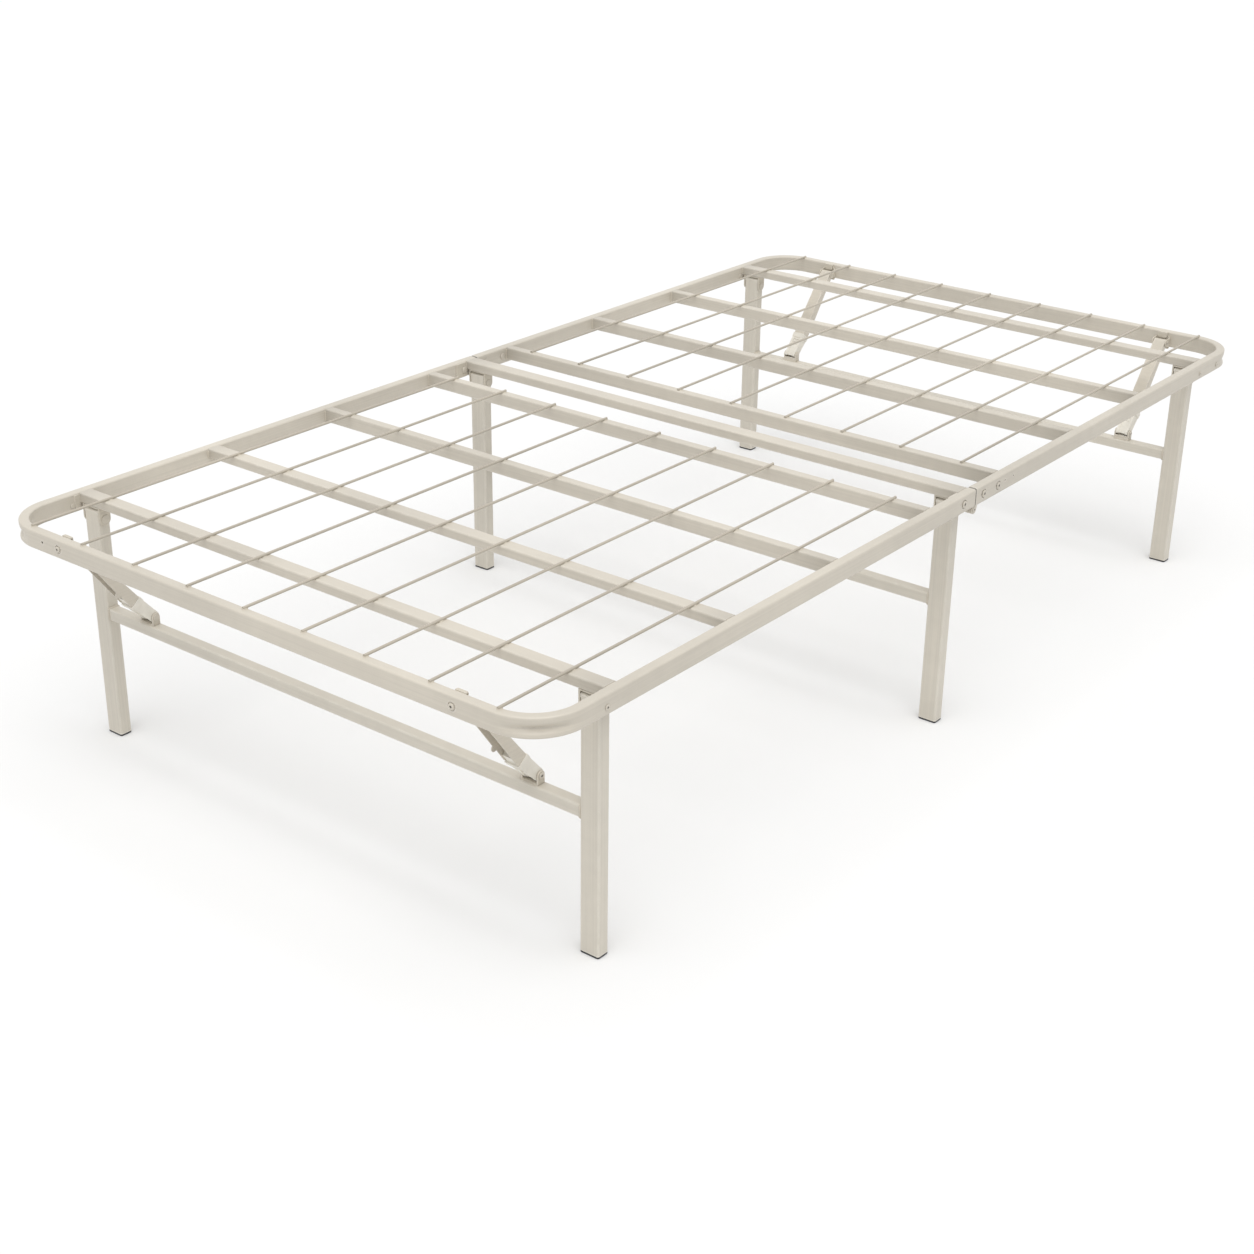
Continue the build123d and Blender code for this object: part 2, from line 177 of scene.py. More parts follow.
# Coat skin: tone, gloss and orange-peel height of baked powder, with the tube's draw lines faint below it,
# and a painted highlight in a paler colour along the edges
coat_skin, taken, given = new_group(
    "coat_skin",
    [
        ("Coat", "NodeSocketColor", (0.6, 0.55, 0.46, 1)),
        ("Edge Highlight", "NodeSocketColor", (0.7, 0.66, 0.58, 1)),
        ("Peel Scale", "NodeSocketFloat", 620.0),
        ("Rub And Highlight Radius", "NodeSocketFloat", 0.003),
        ("Grain", "NodeSocketVector", (4.0, 4.0, 420.0)),
    ],
    skin_outputs,
)
skin_place = coat_skin.nodes.new("ShaderNodeTexCoord").outputs["Object"]
cloud = spread(coat_skin, mottle(coat_skin, skin_place, 2.6, 2.0), 0.3, 0.7, 0.9, 1.06)
patch = spread(coat_skin, mottle(coat_skin, skin_place, 46.0, 3.0), 0.3, 0.7, 0.98, 1.015)
grit_noise = mottle(coat_skin, skin_place, 1700.0, 1.0)
grit = spread(coat_skin, grit_noise, 0.3, 0.7, 0.975, 1.02)
drawn = coat_skin.nodes.new("ShaderNodeVectorMath")
drawn.operation = "MULTIPLY"
coat_skin.links.new(skin_place, drawn.inputs[0])
coat_skin.links.new(taken.outputs["Grain"], drawn.inputs[1])
draw_noise = mottle(coat_skin, drawn.outputs["Vector"], 1.0, 2.0)
draw_line = spread(coat_skin, draw_noise, 0.3, 0.7, 0.955, 1.035)
broad_tone = calc(coat_skin, "MULTIPLY", cloud, draw_line)
tone = calc(coat_skin, "MULTIPLY", calc(coat_skin, "MULTIPLY", broad_tone, patch), grit)
toned = scaled(coat_skin, taken.outputs["Coat"], tone)
rub_and_highlight = coat_skin.nodes.new("ShaderNodeGroup")
rub_and_highlight.node_tree = edge_rub_and_highlight
coat_skin.links.new(taken.outputs["Rub And Highlight Radius"], rub_and_highlight.inputs["Radius"])
# Painted highlight: the coat is blended towards the paler colour along its edges
edge_highlight_share = calc(coat_skin, "MULTIPLY", rub_and_highlight.outputs["Mask"], 0.85)
edge_highlight_tone = blended(coat_skin, edge_highlight_share, toned, taken.outputs["Edge Highlight"])
coat_skin.links.new(edge_highlight_tone, given.inputs["Colour"])
gloss = spread(coat_skin, mottle(coat_skin, skin_place, 70.0, 3.0), 0.3, 0.7, 0.36, 0.46)
rubbed_gloss = calc(coat_skin, "MULTIPLY", rub_and_highlight.outputs["Mask"], -0.06)
coat_skin.links.new(calc(coat_skin, "ADD", gloss, rubbed_gloss), given.inputs["Roughness"])
peel = mottle(coat_skin, skin_place, taken.outputs["Peel Scale"], 1.5)
grit_height = calc(coat_skin, "MULTIPLY", grit_noise, 0.25)
draw_height = calc(coat_skin, "MULTIPLY", draw_noise, 0.3)
coat_height = calc(coat_skin, "ADD", calc(coat_skin, "ADD", peel, grit_height), draw_height)
coat_skin.links.new(coat_height, given.inputs["Height"])


level_grain = (4.0, 4.0, 420.0)
upright_grain = (420.0, 420.0, 4.0)
coat_bump = 0.3


def skin_material(name, group, values, bump_share, lump):
    material = bpy.data.materials.new(name)
    material.use_nodes = True
    tree = material.node_tree
    shader = tree.nodes["Principled BSDF"]
    skin = tree.nodes.new("ShaderNodeGroup")
    skin.node_tree = group
    for label, value in values.items():
        skin.inputs[label].default_value = value
    bump = tree.nodes.new("ShaderNodeBump")
    bump.inputs["Strength"].default_value = bump_share
    bump.inputs["Distance"].default_value = lump
    tree.links.new(skin.outputs["Colour"], shader.inputs["Base Color"])
    tree.links.new(skin.outputs["Roughness"], shader.inputs["Roughness"])
    tree.links.new(skin.outputs["Height"], bump.inputs["Height"])
    tree.links.new(bump.outputs["Normal"], shader.inputs["Normal"])
    return material


def coat_material(name, coat, peel_scale, rub_and_highlight_radius, lump, grain=level_grain, edge_highlight=cream_edge_highlight):
    values = {"Coat": (*coat, 1), "Edge Highlight": (*edge_highlight, 1), "Peel Scale": peel_scale}
    values.update({"Rub And Highlight Radius": rub_and_highlight_radius, "Grain": grain})
    return skin_material(name, coat_skin, values, coat_bump, lump)


# Painted shade: coat darkened to a share of its tone, from one distance to the other off a place along an
# axis
def paint_shade_along(material, axis, place, start, full, share):
    tree = material.node_tree
    shader = tree.nodes["Principled BSDF"]
    coat = shader.inputs["Base Color"].links[0].from_socket
    split = tree.nodes.new("ShaderNodeSeparateXYZ")
    tree.links.new(tree.nodes.new("ShaderNodeTexCoord").outputs["Object"], split.inputs["Vector"])
    away = calc(tree, "ABSOLUTE", calc(tree, "SUBTRACT", split.outputs[axis], place * mm))
    toned = scaled(tree, coat, spread(tree, away, start * mm, full * mm, 1.0, share))
    tree.links.new(toned, shader.inputs["Base Color"])


# Loose shapes gathered into one mesh
class Shapes:
    def __init__(self):
        self.points = []
        self.faces = []

    def add(self, points, faces):
        first = len(self.points)
        self.points.extend(points)
        self.faces.extend([[first + corner for corner in face] for face in faces])


def mesh_object(name, shapes):
    mesh = bpy.data.meshes.new(name)
    mesh.from_pydata([Vector(point) * mm for point in shapes.points], [], shapes.faces)
    work = bmesh.new()
    work.from_mesh(mesh)
    bmesh.ops.recalc_face_normals(work, faces=work.faces)
    work.to_mesh(mesh)
    work.free()
    made = bpy.data.objects.new(name, mesh)
    bpy.context.collection.objects.link(made)
    return made


# Smooth over soft edges, crisp over edges sharper than the crease angle
def shade(made, crease):
    made.data.shade_smooth()
    made.data.set_sharp_from_angle(angle=math.radians(crease))
    even = made.modifiers.new("even_normals", "WEIGHTED_NORMAL")
    even.keep_sharp = True


def fit(made, material, body, slot, *replaced):
    made.data.materials.clear()
    made.data.materials.append(material)
    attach(made, body)
    if replaced:
        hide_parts(*replaced)


def cut(made, cutters):
    for cutter in cutters:
        tool = made.modifiers.new("cut", "BOOLEAN")
        tool.operation = "DIFFERENCE"
        tool.solver = "EXACT"
        tool.object = cutter
    ready = made.evaluated_get(bpy.context.evaluated_depsgraph_get())
    finished = bpy.data.meshes.new_from_object(ready)
    made.modifiers.clear()
    made.data = finished
    for cutter in cutters:
        bpy.data.objects.remove(cutter)


def block(low, high):
    points = [(x, y, z) for x in (low[0], high[0]) for y in (low[1], high[1]) for z in (low[2], high[2])]
    return points, [(0, 1, 3, 2), (4, 6, 7, 5), (0, 4, 5, 1), (2, 3, 7, 6), (0, 2, 6, 4), (1, 5, 7, 3)]


# Faces between two rings of points, which start at the two numbers
def band(here, there, count):
    turns = [(step, (step + 1) % count) for step in range(count)]
    return [[here + step, here + after, there + after, there + step] for step, after in turns]


# Faces that close the first and the last ring of the points
def lids(points, count):
    return [list(range(count)), list(range(len(points) - count, len(points)))]


# Turned shape: a profile of radius and height pairs, from the axis at one end to the axis at the other
def turned_shape(profile, base, axis, sides=28):
    axis = Vector(axis)
    side = axis.orthogonal().normalized()
    other = axis.cross(side)
    points = []
    rings = []
    for radius, height in profile:
        centre = Vector(base) + axis * height
        ring = []
        for step in range(sides if radius else 1):
            turn = 2 * math.pi * step / sides
            ring.append(len(points))
            points.append(centre + (side * math.cos(turn) + other * math.sin(turn)) * radius)
        rings.append(ring)
    faces = []
    for near, far in zip(rings, rings[1:]):
        for step in range(sides):
            after = (step + 1) % sides
            corners = [near[step % len(near)], near[after % len(near)]]
            corners += [far[after % len(far)], far[step % len(far)]]
            faces.append(list(dict.fromkeys(corners)))
    return points, faces


def rail_ring(inset):
    ring = []
    flat_wide = rail_half_wide - rail_edge
    flat_tall = rail_half_tall - rail_edge
    for start, across, up in ((0, 1, 1), (90, -1, 1), (180, -1, -1), (270, 1, -1)):
        for step in range(corner_steps + 1):
            turn = math.radians(start + 90 * step / corner_steps)
            out = across * flat_wide + (rail_edge - inset) * math.cos(turn)
            rise = up * flat_tall + (rail_edge - inset) * math.sin(turn)
            ring.append((out, rise))
    for step in range(1, face_steps):
        ring.append((rail_half_wide - inset, flat_tall * (2 * step / face_steps - 1)))
    return ring


def rail_stations(end, seam):
    turn_x = rail_line - bend_radius
    turn_y = end_outer - rail_half_wide - bend_radius
    stations = [(rail_line, seam + end * back, 1, 0, 0, draw) for back, draw in end_roll]
    for side in (1, -1):
        for step in range(bend_steps + 1):
            turn = math.pi / 2 * step / bend_steps
            crush = math.sin(math.pi * step / bend_steps) ** groove_fade
            out = (math.cos(turn), math.sin(turn)) if side > 0 else (-math.sin(turn), math.cos(turn))
            x = side * turn_x + bend_radius * out[0]
            y = end * (turn_y + bend_radius * out[1])
            stations.append((x, y, out[0], end * out[1], crush, 0.0))
    stations += [(-rail_line, seam + end * back, -1, 0, 0, draw) for back, draw in end_roll[::-1]]
    return stations


def rail_shapes(end, seam):
    shapes = Shapes()
    stations = rail_stations(end, seam)
    skins = []
    for inset in (0, rail_wall):
        points = []
        for x, y, out_x, out_y, crush, draw in stations:
            for out, rise in rail_ring(max(inset, draw)):
                if out > rail_half_wide - rail_edge:
                    off_groove = (rise + groove_below_middle) / groove_reach
                    out -= groove_depth * crush * math.exp(-(off_groove**2))
                elif out < rail_edge - rail_half_wide:
                    out -= bulge_depth * crush * math.exp(-((rise / groove_reach) ** 2))
                points.append((x + out_x * out, y + out_y * out, rail_middle + rise))
        skins.append(points)
    count = len(rail_ring(0))
    total = count * len(stations)
    shapes.points = skins[0] + skins[1]
    for skin in (0, total):
        for station in range(len(stations) - 1):
            here = skin + station * count
            shapes.faces += band(here, here + count, count)
    for here in (0, total - count):
        shapes.faces += band(here, total + here, count)
    return shapes


def cutter_object(points, faces):
    shapes = Shapes()
    shapes.add(points, faces)
    return mesh_object("cutter", shapes)


hole_sides = 20
overshoot = 1


def drill(base, axis, radius, depth):
    profile = [(0, -overshoot), (radius, -overshoot), (radius, depth), (0, depth)]
    return cutter_object(*turned_shape(profile, base, axis, hole_sides))


bolt_radius = 5.5
strut_bolt_radius = 4.4
ring_under = 0.8
ring_past = 1.6
ring_deep = 1.1
ring_clear = 0.01


# Ring pressed into the wall round a bolt head, seen as a thin dark line
def pressed_ring(base, axis, head_radius):
    inner = head_radius - ring_under
    outer = head_radius + ring_past
    profile = [(0, -overshoot), (outer, -overshoot), (outer, ring_deep), (inner, ring_deep)]
    profile += [(inner, -ring_clear), (0, -ring_clear)]
    return cutter_object(*turned_shape(profile, base, axis))


def hinge_bolt_places(half):
    low, high = box_mm(f"{half}_hinge_bolts")
    rows = sorted({round(low.y + bolt_radius, 3), round(high.y - bolt_radius, 3)})
    return rows, (low.z + high.z) / 2


rail_coat = coat_material("rail_coat", cream, 620.0, 0.0035, 0.0003)
seam_line = (box_mm("foot_rail")[1].y + box_mm("head_rail")[0].y) / 2
# Rail coat painted darker within a few mm of the seam: partly the bare cut, partly painted shade in the seam
# gap
paint_shade_along(rail_coat, "Y", seam_line, seam_bare_and_shade_start, seam_bare_and_shade_start - seam_bare_and_shade_fade, seam_bare_and_shade_tone)
slot_long = 12.0
slot_half_wide = 6.0
slot_deep = 3.0
slot_past = 2.0
hole_deep = 4.0
punched_radius = 1.6
punched_level = 369.5
punched_from_seam = (86, 111)
foot_hole_radius = 2.0
foot_hole_x = -394
foot_hole_level = 368
halves = (("foot", -1), ("head", 1))
strut_x = round(box_mm("foot_strut_bolts")[1].x - bolt_radius, 3)
for half, end in halves:
    low, high = box_mm(f"{half}_rail")
    seam = high.y if half == "foot" else low.y
    rail = mesh_object(f"{half}_rail_tube", rail_shapes(end, seam + end * seam_open))
    bolt_rows, bolt_level = hinge_bolt_places(half)
    cutters = []
    for side in (-1, 1):
        near, far = sorted((seam - end * slot_past, seam + end * slot_long))
        slot_low = (side * rail_line - slot_half_wide, near, low.z - overshoot)
        slot_high = (side * rail_line + slot_half_wide, far, low.z + slot_deep)
        cutters.append(cutter_object(*block(slot_low, slot_high)))
        outer = side * rail_outer
        inward = (-side, 0, 0)
        cutters += [pressed_ring((outer, y, bolt_level), inward, bolt_radius) for y in bolt_rows]
        if half == "head":
            for away in punched_from_seam:
                hole = (outer, seam + away, punched_level)
                cutters.append(drill(hole, inward, punched_radius, hole_deep))
        strut_bolt_place = (side * strut_x, end * end_outer, middle_yz(f"{half}_strut_bolts")[1])
        cutters.append(pressed_ring(strut_bolt_place, (0, -end, 0), strut_bolt_radius))
    if half == "foot":
        hole = (foot_hole_x, low.y, foot_hole_level)
        cutters.append(drill(hole, (0, 1, 0), foot_hole_radius, hole_deep))
    cut(rail, cutters)
    shade(rail, rail_crease)
    fit(rail, rail_coat, f"{half}_half", "powder_coat", f"{half}_rail")


# Rail rivets: small domed blind rivets through both walls of each rail near the end slats, coated with it.
# The head stands on a narrower neck, and the stem in the middle is coloured near black, partly for its steel
# and partly as painted shade in the hollow.
rivet_coat = coat_material("rivet_coat", (0.6, 0.552, 0.468), 900.0, 0.0012, 0.0002)
# Stem colour near black: partly the stem's steel, partly painted shade in the hollow; its paler edges are a
# painted highlight
stem_edge_highlight = (0.17, 0.15, 0.13)
stem_steel_and_shade = coat_material("stem_steel_and_shade", (0.1, 0.088, 0.075), 1500.0, 0.0004, 0.0002, edge_highlight=stem_edge_highlight)
neck = 0.78
dome = [(neck, 0.0), (neck, 0.24), (1.0, 0.3), (1.0, 0.62)]
dome += [(0.94, 0.78), (0.82, 0.9), (0.64, 0.97), (0.48, 1.0)]
hollow_radius = 0.42
hollow_lip = 0.97
hollow_floor = 0.4
stem_shape = [(0, 0.3), (0.93, 0.3), (0.93, 0.55), (0.558, 0.68), (0, 0.72)]
stem_sides = 14
rivet_crease = 50


# Rivet along an axis: head, neck and shank as one turned shape, and the stem in the hollow of the head
def add_rivet(rivets, stems, base, axis, shank_radius, grip, head_radius, head_tall, inner_tall):
    inner = [(head_radius * radius, -grip - inner_tall * height) for radius, height in dome]
    outer = [(head_radius * radius, head_tall * height) for radius, height in dome]
    hollow = head_radius * hollow_radius
    floor_level = head_tall * hollow_floor
    profile = [(0, -grip - inner_tall)] + inner[::-1] + [(shank_radius, -grip), (shank_radius, 0)]
    profile += outer + [(hollow, head_tall * hollow_lip), (hollow, floor_level), (0, floor_level)]
    rivets.add(*turned_shape(profile, base, axis))
    stem = [(hollow * radius, head_tall * height) for radius, height in stem_shape]
    stems.add(*turned_shape(stem, base, axis, stem_sides))


def ease_edges(made, width, angle=35):
    ease = made.modifiers.new("ease_edges", "BEVEL")
    ease.width = width * mm
    ease.segments = 2
    ease.limit_method = "ANGLE"
    ease.angle_limit = math.radians(angle)


def make_piece(name, shapes, crease, material, body, slot, *replaced, eased=0.0):
    made = mesh_object(name, shapes)
    if eased:
        ease_edges(made, eased)
    shade(made, crease)
    fit(made, material, body, slot, *replaced)


def fit_rivets(name, rivets, stems, body, *replaced):
    make_piece(name, rivets, rivet_crease, rivet_coat, body, "coated_fastener", *replaced)
    make_piece(f"{name}_stems", stems, rivet_crease, stem_steel_and_shade, body, "coated_fastener")


rail_rivet = dict(shank_radius=2.0, grip=rail_thick, head_radius=3.9, head_tall=1.6, inner_tall=1.6)
rail_rivet_level = 364
rail_rivet_rows = {"foot": (-836.0,), "head": (793.5, 862.0)}
for half, rows in rail_rivet_rows.items():
    rivets, stems = Shapes(), Shapes()
    for side in (-1, 1):
        for y in rows:
            base = (side * rail_outer, y, rail_rivet_level)
            add_rivet(rivets, stems, base, (side, 0, 0), **rail_rivet)
    fit_rivets(f"{half}_rail_rivets", rivets, stems, f"{half}_half")


# Slats and mid beam: straight rectangular tube, cut square and welded between the rails, coated with them.
# The welds run down both sides and under each slat end, rippled; the one on top is dressed smooth.
# Slats are painted darker towards both ends, as painted shade where they meet the rails
slat_painted_shade_from = 415.0
slat_painted_shade = 0.84
slat_coat = coat_material("slat_coat", cream, 620.0, 0.003, 0.0003)
paint_shade_along(slat_coat, "X", 0.0, slat_painted_shade_from, rail_inner, slat_painted_shade)
weld_coat = coat_material("weld_coat", (0.595, 0.543, 0.452), 420.0, 0.001, 0.0006)
slat_edge = 2.5
slat_bead = 1.7
bead_from_top = 3
filler_bead = 1.85
filler_in = 1
weld_sunk = 0.4
weld_ripple = 2.4
weld_crease = 60
dressed_ripple = 4000.0


def paint(name, material):
    nodes[name].data.materials.clear()
    nodes[name].data.materials.append(material)


def arc_points(centre, radius, start, sweep=90, steps=4):
    turns = [math.radians(start + sweep * step / steps) for step in range(steps + 1)]
    return [(centre[0] + radius * math.cos(turn), centre[1] + radius * math.sin(turn)) for turn in turns]


bead_sides = 8
bead_row = 0.9
bead_low = 0.82
bead_tip = 0.3
bead_taper = 2.0


# Weld bead: a rippled round bead along a path that lies in a plane with the given normal
def bead(path, flat, radius, ripple, closed):
    path = [Vector(point) for point in path]
    if closed:
        path = path + path[:1]
    lengths = [0.0]
    for here, there in zip(path, path[1:]):
        lengths.append(lengths[-1] + (there - here).length)
    total = lengths[-1]
    count = max(6, int(total / bead_row))
    flat = Vector(flat)
    points = []
    rows = count if closed else count + 1
    for row in range(rows):
        along = total * row / count
        leg = 0
        while leg < len(path) - 2 and lengths[leg + 1] < along:
            leg += 1
        way = (path[leg + 1] - path[leg]).normalized()
        centre = path[leg] + way * (along - lengths[leg])
        out = way.cross(flat)
        swell = bead_low + (1 - bead_low) * abs(math.sin(math.pi * along / ripple))
        if not closed:
            to_end = min(along, total - along)
            swell *= min(1.0, bead_tip + to_end / bead_taper)
        for step in range(bead_sides):
            turn = 2 * math.pi * step / bead_sides
            points.append(centre + (out * math.cos(turn) + flat * math.sin(turn)) * radius * swell)
    faces = []
    for row in range(rows if closed else rows - 1):
        faces += band(row * bead_sides, (row + 1) % rows * bead_sides, bead_sides)
    if not closed:
        faces += lids(points, bead_sides)
    return points, faces


def slat_end_path(side, low, high):
    face = side * (rail_inner - weld_sunk)
    outline = [(low.y, high.z - bead_from_top)]
    outline += arc_points((low.y + slat_edge, low.z + slat_edge), slat_edge, 180)
    outline += arc_points((high.y - slat_edge, low.z + slat_edge), slat_edge, 270)
    outline.append((high.y, high.z - bead_from_top))
    return [(face, y, z) for y, z in outline]


half_slats = {half: [f"{half}_slat_{number}" for number in (1, 2, 3, 4)] for half in ("foot", "head")}
half_slats["foot"].append("mid_beam")
for half, names in half_slats.items():
    shapes = Shapes()
    for name in names:
        paint(name, slat_coat)
        low, high = box_mm(name)
        for side in (-1, 1):
            path = slat_end_path(side, low, high)
            shapes.add(*bead(path, (1, 0, 0), slat_bead, weld_ripple, False))
            filler_x = side * (rail_inner + filler_in)
            filler_ends = (low.y + filler_in, high.y - filler_in)
            filler = [(filler_x, y, high.z - slat_bead) for y in filler_ends]
            shapes.add(*bead(filler, (1, 0, 0), filler_bead, dressed_ripple, False))
    make_piece(f"{half}_slat_welds", shapes, weld_crease, weld_coat, f"{half}_half", "powder_coat")


# End tabs: small pressed steel plates beside the two end slats, with the cream coat.
# Each is welded to the slat and to the rail's inner face.
tab_coat = coat_material("tab_coat", (0.6, 0.552, 0.47), 700.0, 0.0012, 0.0003)
tab_long = 9.0
tab_thick = 1.6
tab_edge = 2.0
tab_low = 357.5
tab_high = 378.5
tab_sunk = 0.1
plate_crease = 40


def rounded_outline(low_a, high_a, low_b, high_b, edge):
    outline = arc_points((high_a - edge, high_b - edge), edge, 0)
    outline += arc_points((low_a + edge, high_b - edge), edge, 90)
    outline += arc_points((low_a + edge, low_b + edge), edge, 180)
    return outline + arc_points((high_a - edge, low_b + edge), edge, 270)


# Slab: an outline of along and across pairs, thick between two depths, put in place by the given function
def slab(outline, near, far, place):
    points = [place(along, across, depth) for depth in (near, far) for along, across in outline]
    count = len(outline)
    return points, lids(points, count) + band(0, count, count)


def across_x(y, z, x):
    return (x, y, z)


# Plate with rounded corners, in the plane across X
def plate_across_x(face_x, thick, low_y, high_y, low_z, high_z, edge):
    return slab(rounded_outline(low_y, high_y, low_z, high_z, edge), face_x, face_x + thick, across_x)


for half, end, name in (("foot", -1, "foot_slat_1"), ("head", 1, "head_slat_4")):
    low, high = box_mm(name)
    beside = low.y if half == "foot" else high.y
    near, far = sorted((beside, beside + end * tab_long))
    shapes = Shapes()
    for side in (-1, 1):
        face = side * (rail_inner + tab_sunk)
        shapes.add(*plate_across_x(face, -side * tab_thick, near, far, tab_low, tab_high, tab_edge))
    make_piece(f"{half}_slat_tabs", shapes, plate_crease, tab_coat, f"{half}_half", "powder_coat")


# Wires: nine drawn steel wires along each half, resistance welded down on every slat and on the end rail.
# Each weld leaves a low flattened fillet at both sides of the wire.
# Wire edges blend towards a paler colour: a painted highlight
wire_edge_highlight = (0.6, 0.555, 0.475)
wire_coat = coat_material("wire_coat", (0.48, 0.436, 0.362), 900.0, 0.0008, 0.0002, edge_highlight=wire_edge_highlight)
wire_radius = 2.0
wire_count = 9
wire_on_rail = 4.0
fillet_long = 4.4
fillet_wide = 3.3
fillet_tall = 1.5
fillet_sides = 16
fillet_rings = ((1.0, -0.4), (0.97, 0.25), (0.78, 0.62), (0.45, 0.9))
luck = random.Random(11)


def weld_fillet(centre, long_half, wide_half, tall):
    points = []
    faces = []
    for share, rise in fillet_rings:
        for step in range(fillet_sides):
            turn = 2 * math.pi * step / fillet_sides
            wobble = 1 + 0.07 * luck.uniform(-1, 1)
            x = centre[0] + wide_half * share * wobble * math.cos(turn)
            y = centre[1] + long_half * share * wobble * math.sin(turn)
            points.append((x, y, centre[2] + tall * rise))
    for ring in range(len(fillet_rings) - 1):
        faces += band(ring * fillet_sides, (ring + 1) * fillet_sides, fillet_sides)
    return points, faces + lids(points, fillet_sides)


for half, end in halves:
    paint(f"{half}_wires", wire_coat)
    low, high = box_mm(f"{half}_wires")
    rows = [middle_yz(name)[0] for name in half_slats[half] if name != "mid_beam"]
    rows.append(end * (end_inner + wire_on_rail))
    first = low.x + wire_radius
    pitch = (high.x - wire_radius - first) / (wire_count - 1)
    shapes = Shapes()
    for number in range(wire_count):
        for y in rows:
            long_half = fillet_long * luck.uniform(0.85, 1.1)
            wide_half = fillet_wide * luck.uniform(0.9, 1.1)
            centre = (first + number * pitch, y, deck)
            shapes.add(*weld_fillet(centre, long_half, wide_half, fillet_tall))
    make_piece(f"{half}_wire_welds", shapes, weld_crease, weld_coat, f"{half}_half", "coated_wire")


# Fold hinge: flat steel bars riveted inside the rail ends, with round ears below the rail on one pin a side.
# Domed bolts go through the rail, on the foot side with a plate under their inner heads. All cream coated.
hinge_coat = coat_material("hinge_coat", (0.6, 0.55, 0.46), 700.0, 0.0015, 0.0003)
hinge_bolt = dict(shank_radius=3.0, head_radius=bolt_radius, head_tall=2.0, inner_tall=2.0)
hinge_pin = dict(shank_radius=2.5, grip=12.0, head_radius=4.2, head_tall=1.4, inner_tall=0.4)
pin_seat = rail_outer - rail_wall
backing_thick = 1.7
backing_edge = 2.0
backing_rows = (-38.0, -12.9)
backing_levels = (354.5, 379.4)


def soften(name, width):
    merge = nodes[name].modifiers.new("join_corners", "WELD")
    merge.merge_threshold = 0.00001
    ease_edges(nodes[name], width, 40)
    even = nodes[name].modifiers.new("even_normals", "WEIGHTED_NORMAL")
    even.keep_sharp = False


for half in ("foot", "head"):
    for side in ("l", "r"):
        paint(f"{half}_hinge_bar_{side}", hinge_coat)
        soften(f"{half}_hinge_bar_{side}", 0.5)
for half, grip in (("foot", rail_thick + backing_thick), ("head", rail_thick)):
    bolt_rows, bolt_level = hinge_bolt_places(half)
    rivets, stems = Shapes(), Shapes()
    for side in (-1, 1):
        for y in bolt_rows:
            base = (side * rail_outer, y, bolt_level)
            add_rivet(rivets, stems, base, (side, 0, 0), grip=grip, **hinge_bolt)
    fit_rivets(f"{half}_hinge_bolt_set", rivets, stems, f"{half}_half", f"{half}_hinge_bolts")
rivets, stems, plates = Shapes(), Shapes(), Shapes()
for side in (-1, 1):
    base = (side * pin_seat, *middle_yz("hinge_pins"))
    add_rivet(rivets, stems, base, (side, 0, 0), **hinge_pin)
    face = side * rail_inner
    plates.add(*plate_across_x(face, -side * backing_thick, *backing_rows, *backing_levels, backing_edge))
fit_rivets("hinge_pin_set", rivets, stems, "foot_half", "hinge_pins")
make_piece("hinge_backing_plates", plates, plate_crease, hinge_coat, "foot_half", "powder_coat")


# Leg brackets: pressed steel clevises with round ears, welded under the slats over the legs,
# each with a domed pivot pin, peened over inside.
bracket_coat = coat_material("bracket_coat", (0.595, 0.545, 0.455), 700.0, 0.0015, 0.0003)
leg_pin = dict(shank_radius=4.0, grip=35.8, head_radius=6.0, head_tall=1.6, inner_tall=1.2)


# Two pins, left and right, headed at the ends of the node they stand for
def fit_pin_pair(name, node, sizes, body):
    reach = box_mm(node)[1].x - sizes["head_tall"]
    rivets, stems = Shapes(), Shapes()
    for side in (-1, 1):
        add_rivet(rivets, stems, (side * reach, *middle_yz(node)), (side, 0, 0), **sizes)
    fit_rivets(name, rivets, stems, body, node)


for frame_name, half in (("foot", "foot"), ("mid", "foot"), ("head", "head")):
    paint(f"{frame_name}_leg_brackets", bracket_coat)
    soften(f"{frame_name}_leg_brackets", 0.7)
    fit_pin_pair(f"{frame_name}_leg_pin_set", f"{frame_name}_leg_pins", leg_pin, f"{half}_half")


